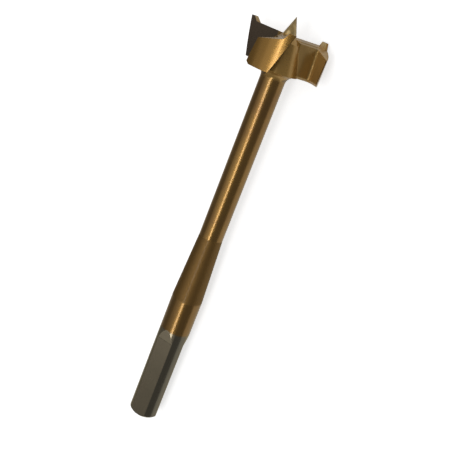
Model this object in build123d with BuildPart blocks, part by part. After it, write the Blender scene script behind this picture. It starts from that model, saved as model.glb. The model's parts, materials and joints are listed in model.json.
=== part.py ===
# Three-wing boring bit for wood, one piece of coated steel, lying as it comes to rest.
# It is modelled upright about its own axis, lips at height 0 and point upward, then laid down.
# All lengths are in millimetres and all angles in degrees.
from build123d import *
from math import acos, atan2, cos, hypot, radians, sin, tan
import os

# Whole bit
total_length = 180.0
cut_diameter = 35.0
wing_count = 3

# Centre point and hub
point_height = 7.2
point_base_diameter = 5.4
hub_diameter = 10.4
hub_slope = 45.0

# Wings
head_height = 14.0
web_thickness = 4.6
rake_angle = 18.0
flank_lean = 7.0
land_inner_reach = 11.4
land_angle = 42.5
land_lean = 0.6
land_relief = 1.2
lip_clearance = 10.5
land_clearance = 19.0
flank_fillet = 1.2
back_bevel = 1.0

# Spurs
spur_height = 1.7
spur_width = 1.4
spur_length = 2.2
spur_back_slope = 64.0
spur_wall_slope = 55.0

# Shaft, taper and shank
shaft_diameter = 10.0
neck_fillet = 3.5
taper_length = 29.0
shank_diameter = 13.0
shank_length = 58.0
end_chamfer = 1.0

# Three flats for the chuck
flat_count = 3
flat_depth = 1.05
flat_length = 43.0
flat_runout = 5.0
flat_turn = -31.0

# Worked out from the sizes above
cut_radius = cut_diameter / 2
shaft_radius = shaft_diameter / 2
shank_radius = shank_diameter / 2
hub_radius = hub_diameter / 2
point_radius = point_base_diameter / 2
end_height = point_height - total_length
shank_top = end_height + shank_length
taper_top = shank_top + taper_length
spur_foot_radius = cut_radius - spur_width - spur_height / tan(radians(spur_wall_slope))
outside = cut_diameter


def front_line(height):
    """How far the cutting face has moved back at this height."""
    return height * tan(radians(rake_angle))


def back_line(height):
    """Where the back of the web stands at this height."""
    return height * tan(radians(flank_lean)) - web_thickness


def land_end(height):
    """Trailing corner of the land at this height, on the outer surface of the wing."""
    angle = radians(land_angle - land_lean * height)
    reach = (cut_radius**2 - (land_relief * cos(angle)) ** 2) ** 0.5 - land_relief * sin(angle)
    return reach * cos(angle), -reach * sin(angle)


def wing_outline(height):
    """Section of one wing: the lip lies along +X and the cutting face looks toward +Y."""
    front, back = front_line(height), back_line(height)
    end_x, end_y = land_end(height)
    stretch = outside / hypot(end_x, end_y)
    seam = tan(radians(180 / wing_count))
    Polyline(
        (-front / seam, front),
        (outside, front),
        (outside, end_y * stretch),
        (land_inner_reach + (end_x - land_inner_reach) * stretch, back + (end_y - back) * stretch),
        (land_inner_reach, back),
        (-back / seam, back),
        close=True,
    )


# Hollow inside the ring of spurs, down to the clearance face behind each lip
with BuildPart() as spur_hollow:
    wall_run = head_height / tan(radians(spur_wall_slope))
    Cone(
        bottom_radius=spur_foot_radius - wall_run / 2,
        top_radius=spur_foot_radius + wall_run / 2,
        height=head_height,
    )
    split(bisect_by=Plane.XY.rotated((lip_clearance, 0, 0)), keep=Keep.TOP)

# The metal above the rim and behind the spur, seen from outside, that is ground away
web_drop = web_thickness * tan(radians(lip_clearance))
spur_drop = (spur_height + web_drop) / tan(radians(spur_back_slope))
land_drop = cut_radius * tan(radians(land_clearance))

with BuildPart() as wing:
    for height in (-head_height, spur_height):
        with BuildSketch(Plane.XY.offset(height)):
            with BuildLine():
                wing_outline(height)
            make_face()
    loft(ruled=True)
    corner = wing.edges().filter_by_position(
        Axis.X, land_inner_reach - 0.01, land_inner_reach + 0.01, inclusive=(True, True)
    )
    fillet(corner, flank_fillet)
    rim = wing.edges().filter_by_position(Axis.Z, -head_height - 0.01, -head_height + 0.01)
    chamfer(
        rim.filter_by(
            lambda edge: edge.center().Y < back_line(-head_height) + 0.01
            and edge.center().X < land_inner_reach + 0.01
        ),
        back_bevel,
    )
    # Outer surface of the land, its centre moved so that the land falls away behind the edge
    with BuildSketch(Plane.XY.offset(-head_height)):
        with Locations((0, land_relief)):
            Circle(cut_radius)
    extrude(amount=head_height + spur_height, mode=Mode.INTERSECT)
    # Back of the spur and clearance of the land
    with BuildSketch(Plane.YZ):
        with BuildLine():
            Polyline(
                (-spur_length, spur_height),
                (-spur_length - spur_drop, -web_drop),
                (-spur_length - spur_drop - cut_radius, -web_drop - land_drop),
                (-outside, spur_height),
                close=True,
            )
        make_face()
    extrude(amount=outside, mode=Mode.SUBTRACT)
    add(spur_hollow.part, mode=Mode.SUBTRACT)

# Metal milled off the shank for one chuck flat, seen from the side, with its sloping start
with BuildPart() as flat_cut:
    flat_distance = shank_radius - flat_depth
    flat_end = end_height + flat_length
    with BuildSketch(Plane.XZ):
        with BuildLine():
            Polyline(
                (flat_distance, end_height - flat_depth),
                (flat_distance, flat_end - flat_runout),
                (shank_radius + flat_depth, flat_end + flat_runout),
                (shank_radius + flat_depth, end_height - flat_depth),
                close=True,
            )
        make_face()
    extrude(amount=shank_radius, both=True)

with BuildPart() as upright_bit:
    # Point, hub, core, neck, shaft, taper and shank, turned in one
    with BuildSketch(Plane.XZ):
        with BuildLine():
            Polyline(
                (0, end_height),
                (0, point_height),
                (point_radius, 0),
                (hub_radius, -(hub_radius - point_radius) * tan(radians(hub_slope))),
                (shaft_radius + neck_fillet, -head_height),
            )
            JernArc((shaft_radius + neck_fillet, -head_height), (-1, 0), neck_fillet, 90)
            Polyline(
                (shaft_radius, -head_height - neck_fillet),
                (shaft_radius, taper_top),
                (shank_radius, shank_top),
                (shank_radius, end_height + end_chamfer),
                (shank_radius - end_chamfer, end_height),
                (0, end_height),
            )
        make_face()
    revolve(axis=Axis.Z)
    with PolarLocations(0, wing_count):
        add(wing.part)
    with PolarLocations(0, flat_count, start_angle=flat_turn):
        add(flat_cut.part, mode=Mode.SUBTRACT)

# The bit lies on the spur of one wing, the bevelled back corner of the next and the end of the shank
spur_y = front_line(spur_height)
spur_x = (cut_radius**2 - (spur_y - land_relief) ** 2) ** 0.5
spur_tip = Vector(spur_x, spur_y, spur_height).rotate(Axis.Z, 360 / wing_count)
back_height = back_bevel - head_height
back_corner = Vector(*land_end(back_height), back_height).rotate(Axis.Z, 720 / wing_count)
shank_heel = end_height + end_chamfer
tilt = 0.0
for _ in range(8):
    # Direction of the floor from the axis, then how much the shank drops toward it
    gap = spur_tip - back_corner
    floor_turn = atan2(gap.Y, gap.X) + acos(-gap.Z * tan(tilt) / hypot(gap.X, gap.Y))
    reach = spur_tip.X * cos(floor_turn) + spur_tip.Y * sin(floor_turn)
    tilt = atan2(shank_radius - reach, spur_height - shank_heel)
down = Vector(cos(tilt) * cos(floor_turn), cos(tilt) * sin(floor_turn), sin(tilt))
floor = Plane(origin=spur_tip, x_dir=Vector(0, 0, 1) - down * down.Z, z_dir=-down)
laid = floor.to_local_coords(upright_bit.part)
box = laid.bounding_box()

with BuildPart() as drill_bit:
    with Locations((-box.center().X, -box.center().Y, -box.min.Z)):
        add(laid)

drill_bit.part.label = "drill_bit"
os.makedirs("parts", exist_ok=True)
export_step(drill_bit.part, "parts/drill_bit.step")
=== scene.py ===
import json
import math

import bmesh
import bpy
from mathutils import Matrix, Vector


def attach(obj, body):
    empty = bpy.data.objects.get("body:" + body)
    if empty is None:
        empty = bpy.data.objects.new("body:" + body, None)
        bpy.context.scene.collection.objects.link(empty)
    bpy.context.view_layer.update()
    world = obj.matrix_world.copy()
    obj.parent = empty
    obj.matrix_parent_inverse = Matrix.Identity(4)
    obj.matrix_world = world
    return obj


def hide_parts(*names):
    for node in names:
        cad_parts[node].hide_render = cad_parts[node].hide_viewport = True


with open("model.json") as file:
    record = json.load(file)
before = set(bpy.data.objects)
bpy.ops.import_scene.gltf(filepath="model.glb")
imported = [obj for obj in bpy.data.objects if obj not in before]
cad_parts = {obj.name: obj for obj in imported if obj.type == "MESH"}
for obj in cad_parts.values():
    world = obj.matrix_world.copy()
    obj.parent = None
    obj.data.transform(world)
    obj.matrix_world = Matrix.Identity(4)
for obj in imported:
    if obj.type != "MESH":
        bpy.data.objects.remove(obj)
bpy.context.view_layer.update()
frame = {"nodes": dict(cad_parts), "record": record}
print("frame loaded, nodes:", len(frame["nodes"]))

# The bit's own axis as it lies, from the mount on the end of its shank, which points out of it.
# Lengths are in metres and angles in degrees. "Along" starts at the lips, plus toward the point.
lipsToEnd = 0.1728
chuck = next(mount for mount in frame["record"]["mounts"] if mount["name"] == "chuck_shank")
axisWay = -Vector(chuck["axis"]).normalized()
axisUp = Vector((-axisWay.z, 0.0, axisWay.x))
axisSide = Vector((0.0, 1.0, 0.0))
lipsMiddle = Vector(chuck["pos_m"]) + lipsToEnd * axisWay


def outWay(turn):
    # The way out from the axis; turn 0 is straight above
    angle = math.radians(turn)
    return math.cos(angle) * axisUp + math.sin(angle) * axisSide


def standing(place, right, up, back):
    # Where a camera or lamp stands and how it is turned, for its matrix
    return Matrix.Translation(place) @ Matrix((right, up, back)).transposed().to_4x4()


# Camera
cameraSet = {
    "along": -0.0794,  # what it looks at along the bit
    "aside": 0.00480,  # and beside the axis
    "turn": -16.64,  # which side of the bit it stands on
    "lean": 18.3,  # how far it leans toward the point
    "distance": 0.319,
    "roll": 21.57,
    "lens": 62.25,  # in millimetres, as the next
    "sensor": 36.0,
    "clipStart": 0.01,
}


def makeCamera(s):
    right = outWay(s["turn"] - 90.0)
    lean = math.radians(s["lean"])
    back = math.cos(lean) * outWay(s["turn"]) + math.sin(lean) * axisWay
    axisSeen = (axisWay - back * axisWay.dot(back)).normalized()
    roll = math.radians(s["roll"])
    viewRight = math.sin(roll) * axisSeen + math.cos(roll) * right
    viewUp = math.cos(roll) * axisSeen - math.sin(roll) * right
    data = bpy.data.cameras.new("camera")
    data.lens = s["lens"]
    data.sensor_width = s["sensor"]
    data.clip_start = s["clipStart"]
    camera = bpy.data.objects.new("camera", data)
    bpy.context.scene.collection.objects.link(camera)
    place = lipsMiddle + s["along"] * axisWay + s["aside"] * right + s["distance"] * back
    camera.matrix_world = standing(place, viewRight, viewUp, back)
    bpy.context.scene.camera = camera


makeCamera(cameraSet)
print("camera placed")


# Shader tools
class Socket:
    # One output socket, so that shader maths reads as an expression
    def __init__(self, nodes, link):
        self.nodes = nodes
        self.link = link

    def math(self, operation, *values):
        return self.nodes.add("ShaderNodeMath", {"operation": operation}, values)

    def __add__(self, other):
        return self.math("ADD", self, other)

    def __radd__(self, other):
        return self.math("ADD", other, self)

    def __sub__(self, other):
        return self.math("SUBTRACT", self, other)

    def __rsub__(self, other):
        return self.math("SUBTRACT", other, self)

    def __mul__(self, other):
        return self.math("MULTIPLY", self, other)

    def __rmul__(self, other):
        return self.math("MULTIPLY", other, self)

    def __abs__(self):
        return self.math("ABSOLUTE", self)

    def larger(self, other):
        return self.math("MAXIMUM", self, other)


class NodeTree:
    def __init__(self, tree):
        self.tree = tree
        tree.nodes.clear()

    def add(self, kind, settings=None, values=None, output=0):
        # Settings are set first, then the sockets take values or links, by place or by name
        node = self.tree.nodes.new(kind)
        for name, value in (settings or {}).items():
            setattr(node, name, value)
        pairs = values.items() if isinstance(values, dict) else enumerate(values or ())
        for place, value in pairs:
            if isinstance(value, Socket):
                self.tree.links.new(value.link, node.inputs[place])
            else:
                node.inputs[place].default_value = value
        return Socket(self, node.outputs[output]) if node.outputs else None

    def mixColour(self, share, first, second, blend="MIX"):
        # The places are those of a Mix node's colour sockets
        settings = {"data_type": "RGBA", "blend_type": blend}
        return self.add("ShaderNodeMix", settings, {0: share, 6: first, 7: second}, output=2)

    def step(self, value, low, high):
        settings = {"interpolation_type": "SMOOTHSTEP", "clamp": True}
        values = {"Value": value, "From Min": low, "From Max": high}
        return self.add("ShaderNodeMapRange", settings, values)

    def above(self, value, edge, soft):
        # 1 where the value lies above the edge and 0 below it, with a soft change between
        return self.step(value, edge - soft, edge + soft)

    def below(self, value, edge, soft):
        return self.step(value, edge + soft, edge - soft)

    def dot(self, vector, way):
        settings = {"operation": "DOT_PRODUCT"}
        return self.add("ShaderNodeVectorMath", settings, (vector, way), output="Value")

    def length(self, vector):
        settings = {"operation": "LENGTH"}
        return self.add("ShaderNodeVectorMath", settings, (vector,), output="Value")

    def noise(self, vector, scale, detail, roughness):
        values = {"Vector": vector, "Scale": scale, "Detail": detail, "Roughness": roughness}
        return self.add("ShaderNodeTexNoise", None, values)

    def rays(self, *kinds):
        # 1 for what these kinds of rays see
        return [self.add("ShaderNodeLightPath", output=f"Is {kind} Ray") for kind in kinds]


def materialTree(name):
    material = bpy.data.materials.new(name)
    material.use_nodes = True
    return material, NodeTree(material.node_tree)


# The bit's own piece: the solid with fine worn edges
bitShape = {
    "join": 0.00002,  # points nearer than this become one
    "flatAngle": 0.25,  # faces bent less than this become one
    "sharpAngle": 44.0,  # an edge bent more than this gets the worn round
    "edgeRound": 0.00011,
    "segments": 2,
    "smoothAngle": 23.0,
    "archFrom": -0.1285,  # between these the flats slope out, at a slight bend to the round
    "archTo": -0.1420,
    "archAngle": 9.3,
    "faceWeight": 100,  # how far large faces lead the shading of small ones
}


def markWorn(mesh, s):
    # Only the edges that stand out wear round, not those in a corner
    shape = bmesh.new()
    shape.from_mesh(mesh)
    weight = shape.edges.layers.float.new("bevel_weight_edge")
    sharp = math.radians(s["sharpAngle"])
    for edge in shape.edges:
        if len(edge.link_faces) == 2 and edge.calc_face_angle_signed() > sharp:
            edge[weight] = 1.0
    shape.to_mesh(mesh)
    shape.free()


def creaseArches(mesh, s):
    # The flats' sloping ends meet the round shank in a crease, however slight
    shape = bmesh.new()
    shape.from_mesh(mesh)
    slight = math.radians(s["archAngle"])
    for edge in shape.edges:
        middle = (edge.verts[0].co + edge.verts[1].co) / 2.0
        along = (middle - lipsMiddle).dot(axisWay)
        bent = len(edge.link_faces) == 2 and edge.calc_face_angle() > slight
        if bent and s["archTo"] < along < s["archFrom"]:
            edge.smooth = False
    shape.to_mesh(mesh)
    shape.free()


def copyBit(source):
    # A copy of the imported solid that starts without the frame's own marks
    bpy.ops.object.select_all(action="DESELECT")
    piece = source.copy()
    piece.data = source.data.copy()
    for key in list(piece.keys()):
        del piece[key]
    piece.parent = None
    piece.name = "bit"
    piece.data.name = "bit"
    piece.data.materials.clear()
    bpy.context.scene.collection.objects.link(piece)
    bpy.context.view_layer.objects.active = piece
    piece.select_set(True)
    return piece


def makeBit(source, s):
    piece = copyBit(source)
    bpy.ops.object.mode_set(mode="EDIT")
    bpy.ops.mesh.customdata_custom_splitnormals_clear()
    bpy.ops.mesh.select_all(action="SELECT")
    bpy.ops.mesh.remove_doubles(threshold=s["join"])
    bpy.ops.mesh.dissolve_limited(angle_limit=math.radians(s["flatAngle"]))
    bpy.ops.object.mode_set(mode="OBJECT")
    markWorn(piece.data, s)
    rounder = piece.modifiers.new("worn edges", "BEVEL")
    rounder.limit_method = "WEIGHT"
    rounder.width = s["edgeRound"]
    rounder.segments = s["segments"]
    rounder.use_clamp_overlap = False
    bpy.ops.object.modifier_apply(modifier=rounder.name)
    bpy.ops.object.shade_smooth_by_angle(angle=math.radians(s["smoothAngle"]))
    creaseArches(piece.data, s)
    evener = piece.modifiers.new("even shading", "WEIGHTED_NORMAL")
    evener.keep_sharp = True
    evener.weight = s["faceWeight"]
    bpy.ops.object.modifier_apply(modifier=evener.name)
    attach(piece, "root")
    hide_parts("drill_bit")
    return piece


bit = makeBit(frame["nodes"]["drill_bit"], bitShape)
print("bit shaped, faces:", len(bit.data.polygons))


# Coated steel
bitFinish = {
    # Colours
    "gold": (0.265, 0.143, 0.030, 1.0),  # the coating on the shaft
    "bronze": (0.20, 0.098, 0.028, 1.0),  # its browner patches
    "headGold": (0.335, 0.203, 0.057, 1.0),  # the webs of the wings
    "coreLitGold": (0.44, 0.255, 0.066, 1.0),  # the cone between them, painted lighter as light falling on it
    "rearLitGold": (0.45, 0.26, 0.075, 1.0),  # the rear walls of the lands, painted lighter as light falling on them
    "landGold": (0.30, 0.157, 0.028, 1.0),  # their outer faces
    "shankGold": (0.235, 0.125, 0.026, 1.0),  # between the taper and the bare end
    "matteGold": (0.205, 0.116, 0.034, 1.0),  # the taper
    "darkSteel": (0.15, 0.134, 0.097, 1.0),  # the chuck end, without coating
    "groundSteel": (0.27, 0.228, 0.155, 1.0),  # its three flats
    "slopeSteel": (0.29, 0.245, 0.165, 1.0),  # where they slope out
    "tipLightGold": (0.53, 0.385, 0.165, 1.0),  # the point and the spurs, painted lighter as light falling on them
    "groundFaceShade": (0.118, 0.086, 0.058, 1.0),  # ground after coating, and coloured darker still as painted shade
    "cornerShade": (0.075, 0.048, 0.022, 1.0),  # painted shade in the corner where the core meets a cutting face
    "edgeTint": (0.87, 0.77, 0.56, 1.0),  # what the steel mirrors at a flat angle
    # How the wings and flats stand on the bit
    "wings": 3,
    "lipTurn": -23.94,  # where the first lip points
    "rake": 18.0,
    "flats": 3,
    "flatTurn": 7.06,  # where the first flat faces
    "flatOut": 0.00545,  # how far the flats stand from the axis
    "slopeStart": -0.1348,  # where they begin to slope out
    "slopeRise": 0.21,
    "coreRise": -0.287,  # how fast the core's radius changes along the bit
    # Where a finish ends and how softly, first along the bit
    "tipStart": (0.00035, 0.00065),
    "headEnd": (-0.0165, 0.0010),
    "taperTop": (-0.0858, 0.0003),
    "taperFoot": (-0.1148, 0.0003),
    "coatEnd": (-0.1300, 0.0007),
    "coatWander": 0.0012,
    "slopeFoot": (-0.1346, 0.0001),
    # and then out from the axis, or off the plane of the flat, slope or cutting face
    "coreEdge": (0.00475, 0.00015),
    "rearEdge": (0.01245, 0.00025),
    "landEdge": (0.0162, 0.0001),
    "flatEdge": (-0.00008, 0.00004),
    "slopeEdge": (0.000075, 0.000025),
    "cutEdge": (0.00009, 0.00004),
    "cutStart": (0.0050, 0.0004),
    # Where the painted corner shade lies, off the plane of a cutting face and out from the axis
    "cornerShadeEdge": (0.0013, 0.0004),
    "cornerShadeFoot": (0.0, 0.0001),
    "cornerShadeStart": (0.0005, 0.0005),
    # Noises: scale, detail and roughness
    "lineStretch": (1.0, 0.02, 0.02),
    "lines": (5200.0, 3.0, 0.6),
    "bands": (700.0, 2.0, 0.5),
    "clouds": (95.0, 3.0, 0.55),
    "grain": (1500.0, 3.0, 0.6),
    "patchEdge": (0.55, 0.13),  # how strong the clouds are at a patch's edge
    # Shares
    "patchShare": 0.5,
    "headPatches": 0.6,  # what the patches take from the head's gold
    "tipShare": 0.8,
    "headTurning": 0.85,  # how much fainter turning lines are on the head
    "shankTurning": 0.7,  # and on the shank
    "tone": 0.93,
    "bandTone": 0.14,
    "grainTone": 0.12,
    # Gloss, as roughness
    "gloss": 0.28,
    "matteGloss": 0.56,
    "steelGloss": 0.26,
    "landGloss": 0.05,  # how much smoother the lands are
    "lineGloss": 0.035,
    "cloudGloss": 0.08,
    # Clear coat, and what each zone takes from it; only the lands add to it
    "coat": 0.6,
    "coatGloss": 0.17,
    "landCoat": 0.6,
    "headCoat": 0.5,
    "taperCoat": 0.75,
    "steelCoat": 0.67,
    # How much less of a mirror each zone is
    "headDull": 0.50,
    "landDull": 0.12,
    "slopeDull": 0.6,
    # Height of the lines and grain
    "lineHeight": 0.5,
    "grainHeight": 0.35,
    "bumpStrength": 0.035,
    "bumpDistance": 0.00004,
}


def axisSpace(nodes):
    # X of this space runs along the bit from the lips, minus toward the shank
    place = nodes.add("ShaderNodeTexCoord", output="Object")
    values = {
        "Vector": place,
        "Location": lipsMiddle,
        "Rotation": (0.0, -math.asin(axisWay.z), 0.0),
    }
    return nodes.add("ShaderNodeMapping", {"vector_type": "TEXTURE"}, values)


def wayOut(turn):
    # outWay, as it is in that space
    angle = math.radians(turn)
    return 0.0, math.sin(angle), math.cos(angle)


def bitMarks(nodes, onAxis, s):
    # Lines and bands of turning round the bit, slow clouds in the coating, and a fine grain
    stretched = nodes.add(
        "ShaderNodeMapping", None, {"Vector": onAxis, "Scale": s["lineStretch"]}
    )
    return {
        "lines": nodes.noise(stretched, *s["lines"]),
        "bands": nodes.noise(stretched, *s["bands"]),
        "clouds": nodes.noise(onAxis, *s["clouds"]),
        "grain": nodes.noise(onAxis, *s["grain"]),
    }


def lipZones(nodes, onAxis, s):
    # The cutting faces are leaning planes that start at the lips, with painted shade along the
    # core in front of each
    faces, cornerShades = [], []
    rake = math.radians(s["rake"])
    for wing in range(s["wings"]):
        lipWay = wayOut(s["lipTurn"] - 360.0 / s["wings"] * wing)
        faceWay = (-math.sin(rake), -math.cos(rake) * lipWay[2], math.cos(rake) * lipWay[1])
        out = nodes.dot(onAxis, lipWay)
        off = nodes.dot(onAxis, faceWay)
        faces.append(nodes.below(abs(off), *s["cutEdge"]) * nodes.above(out, *s["cutStart"]))
        # painted shade: a dark band on the core just in front of each cutting face plane
        cornerShade = nodes.below(off, *s["cornerShadeEdge"]) * nodes.above(off, *s["cornerShadeFoot"])
        cornerShades.append(cornerShade * nodes.above(out, *s["cornerShadeStart"]))
    return sum(faces), sum(cornerShades)


def flatZones(nodes, onAxis, along, bare, s):
    # How far out a point lies toward the nearest flat, from the plane of that flat
    reach = None
    for flat in range(s["flats"]):
        toFlat = nodes.dot(onAxis, wayOut(s["flatTurn"] + 360.0 / s["flats"] * flat))
        reach = reach.larger(toFlat) if reach else toFlat
    off = reach - s["flatOut"]
    flats = bare * nodes.above(off, *s["flatEdge"])
    offSlope = abs(off - (along - s["slopeStart"]) * s["slopeRise"])
    slopes = nodes.below(offSlope, *s["slopeEdge"]) * nodes.above(along, *s["slopeFoot"])
    return flats, slopes


def bitZones(nodes, onAxis, clouds, s):
    # Where each finish is: 1 on it and 0 off it
    along = nodes.add("ShaderNodeSeparateXYZ", None, (onAxis,))
    settings = {"operation": "MULTIPLY"}
    fromAxis = nodes.add("ShaderNodeVectorMath", settings, (onAxis, (0.0, 1.0, 1.0)))
    radius = nodes.length(fromAxis)
    coreRadius = radius - along * s["coreRise"]
    wander = (clouds - 0.5) * s["coatWander"]
    zones = {
        "head": nodes.above(along, *s["headEnd"]),
        "shank": nodes.below(along, *s["taperFoot"]),
        "bare": nodes.below(along + wander, *s["coatEnd"]),
    }
    zones["taper"] = nodes.below(along, *s["taperTop"]) * nodes.above(along, *s["taperFoot"])
    zones["cut"], cornerShade = lipZones(nodes, onAxis, s)
    zones["cornerShade"] = cornerShade * zones["head"]
    zones["core"] = zones["head"] * nodes.below(coreRadius, *s["coreEdge"])
    zones["rear"] = zones["head"] * nodes.above(radius, *s["rearEdge"])
    zones["land"] = nodes.above(radius, *s["landEdge"]) * (1.0 - zones["cut"])
    zones["tips"] = nodes.above(along, *s["tipStart"]) * (1.0 - zones["land"])
    zones["flat"], zones["slope"] = flatZones(nodes, onAxis, along, zones["bare"], s)
    return zones


def bitColour(nodes, zones, marks, turning, s):
    # Each layer lies over those above it in this list
    patch = nodes.above(marks["clouds"], *s["patchEdge"]) * s["patchShare"]
    layers = [
        (patch, "bronze"),
        (zones["head"] * (1.0 - patch * s["headPatches"]), "headGold"),
        # painted light: the core lighter than the rest of the head
        (zones["core"], "coreLitGold"),
        # painted light: the rear walls lighter than the rest of the head
        (zones["rear"], "rearLitGold"),
        (zones["land"], "landGold"),
        # painted shade in the corner by each cutting face
        (zones["cornerShade"], "cornerShade"),
        (zones["shank"], "shankGold"),
        (zones["taper"], "matteGold"),
        # painted light: the point and the spurs lighter than the coating
        (zones["tips"] * s["tipShare"], "tipLightGold"),
        # the ground cutting faces, darkened with painted shade
        (zones["cut"], "groundFaceShade"),
        (zones["bare"], "darkSteel"),
        (zones["flat"], "groundSteel"),
        (zones["slope"], "slopeSteel"),
    ]
    colour = s["gold"]
    for share, name in layers:
        colour = nodes.mixColour(share, colour, s[name])
    bands = (marks["bands"] - 0.5) * turning * s["bandTone"]
    tone = s["tone"] + bands + marks["grain"] * s["grainTone"]
    grey = nodes.add("ShaderNodeCombineColor", None, (tone, tone, tone))
    return nodes.mixColour(1.0, colour, grey, "MULTIPLY")


def makeCoatedSteel(s):
    material, nodes = materialTree("coated_steel")
    onAxis = axisSpace(nodes)
    marks = bitMarks(nodes, onAxis, s)
    zones = bitZones(nodes, onAxis, marks["clouds"], s)
    head, taper, bare, land = (zones[name] for name in ("head", "taper", "bare", "land"))
    turning = (1.0 - head * s["headTurning"]) * (1.0 - zones["shank"] * s["shankTurning"])

    rough = s["gloss"] + (marks["lines"] - 0.5) * turning * s["lineGloss"]
    rough = rough + (marks["clouds"] - 0.5) * s["cloudGloss"] - land * s["landGloss"]
    rough = rough + taper * (s["matteGloss"] - s["gloss"])
    rough = rough + bare * (s["steelGloss"] - s["gloss"])

    coat = s["coat"] * (1.0 - head * s["headCoat"]) * (1.0 - taper * s["taperCoat"])
    coat = coat * (1.0 - bare * s["steelCoat"]) * (1.0 + land * s["landCoat"])

    dull = s["headDull"] - land * (s["headDull"] - s["landDull"])
    metal = 1.0 - head * (1.0 - zones["cut"]) * dull
    metal = metal * (1.0 - zones["slope"] * s["slopeDull"])

    height = marks["lines"] * turning * (taper + s["lineHeight"])
    height = height + marks["grain"] * s["grainHeight"]
    bump = nodes.add("ShaderNodeBump", None, {
        "Strength": s["bumpStrength"],
        "Distance": s["bumpDistance"],
        "Height": height,
    })

    shader = nodes.add("ShaderNodeBsdfPrincipled", None, {
        "Base Color": bitColour(nodes, zones, marks, turning, s),
        "Metallic": metal,
        "Specular Tint": s["edgeTint"],
        "Roughness": rough,
        "Coat Weight": coat,
        "Coat Roughness": s["coatGloss"],
        "Normal": bump,
    })
    nodes.add("ShaderNodeOutputMaterial", values={"Surface": shader})
    return material


bit.data.materials.append(makeCoatedSteel(bitFinish))
print("coated steel made")


# Floor and world
studio = {
    "floorSize": 14.0,
    "floorColour": (0.8, 0.8, 0.8, 1.0),
    "floorMirroredShade": (0.36, 0.36, 0.36, 1.0),  # painted shade: the floor as metal mirrors it on the far side
    "farSide": (0.02, 0.03),  # where that side begins beside the bit, and how softly
    "floorSeen": 0.66,  # white added to what the camera sees of the floor
    "floorFar": 0.19,  # and more of it away from the bit
    "farEdge": (1.05, 0.75),
    "floorMirrored": 0.25,  # white added to what metal mirrors of it
    "sky": 0.21,
    "white": (1.0, 1.0, 1.0, 1.0),
}


def makeFloor(s):
    bpy.ops.object.select_all(action="DESELECT")
    bpy.ops.mesh.primitive_plane_add(size=s["floorSize"], location=(0.0, 0.0, 0.0))
    floor = bpy.context.object
    floor.name = "floor"
    material, nodes = materialTree("pale_floor")
    seen, mirrored, through = nodes.rays("Camera", "Glossy", "Transmission")
    place = nodes.add("ShaderNodeTexCoord", output="Object")
    far = nodes.above(nodes.length(place), *s["farEdge"])
    # painted shade: on the far side metal mirrors a darker floor, which darkens that edge of the
    # bit
    mirroredShade = mirrored * nodes.above(nodes.dot(place, (0.0, 1.0, 0.0)), *s["farSide"])
    added = seen * (s["floorSeen"] + far * s["floorFar"])
    added = added + (mirrored.larger(through) - mirroredShade) * s["floorMirrored"]
    pale = nodes.add("ShaderNodeBsdfDiffuse", values={"Color": s["floorColour"]})
    shadeDiffuse = nodes.add("ShaderNodeBsdfDiffuse", values={"Color": s["floorMirroredShade"]})
    ground = nodes.add("ShaderNodeMixShader", values=(mirroredShade, pale, shadeDiffuse))
    lit = nodes.add("ShaderNodeEmission", values={"Color": added})
    both = nodes.add("ShaderNodeAddShader", values=(ground, lit))
    nodes.add("ShaderNodeOutputMaterial", values={"Surface": both})
    floor.data.materials.append(material)


def makeWorld(s):
    world = bpy.data.worlds.new("studio")
    bpy.context.scene.world = world
    world.use_nodes = True
    nodes = NodeTree(world.node_tree)
    seen, through = nodes.rays("Camera", "Transmission")
    strength = seen.larger(through).larger(s["sky"])
    values = {"Color": s["white"], "Strength": strength}
    back = nodes.add("ShaderNodeBackground", values=values)
    nodes.add("ShaderNodeOutputWorld", values={"Surface": back})


makeFloor(studio)
makeWorld(studio)
print("floor and world made")

# Lamps, all at one distance from the bit's axis and facing it
lampDistance = 0.80
lamps = {
    # turn round the bit, middle along it, length along it, width across it, radiance
    "key": (-4.2, -0.45, 0.70, 0.135, 5.6),
    "headKey": (3.2, -0.05, 0.18, 0.10, 6.3),
    "nearFill": (17.0, -0.18, 0.68, 0.42, 0.66),
    "farFill": (43.0, -0.18, 0.68, 0.32, 0.32),
    "pointFill": (22.0, 0.52, 0.38, 1.30, 1.5),
}


def makeLamp(name, turn, along, length, width, radiance):
    data = bpy.data.lights.new(name, "AREA")
    data.shape = "RECTANGLE"
    data.size = length
    data.size_y = width
    data.energy = radiance * math.pi * length * width
    lamp = bpy.data.objects.new(name, data)
    bpy.context.scene.collection.objects.link(lamp)
    back = outWay(turn)
    place = lipsMiddle + along * axisWay + lampDistance * back
    lamp.matrix_world = standing(place, axisWay, back.cross(axisWay), back)


for lampName, lampValues in lamps.items():
    makeLamp(lampName, *lampValues)
print("lamps made:", len(lamps))

bpy.context.scene.view_settings.view_transform = "Standard"
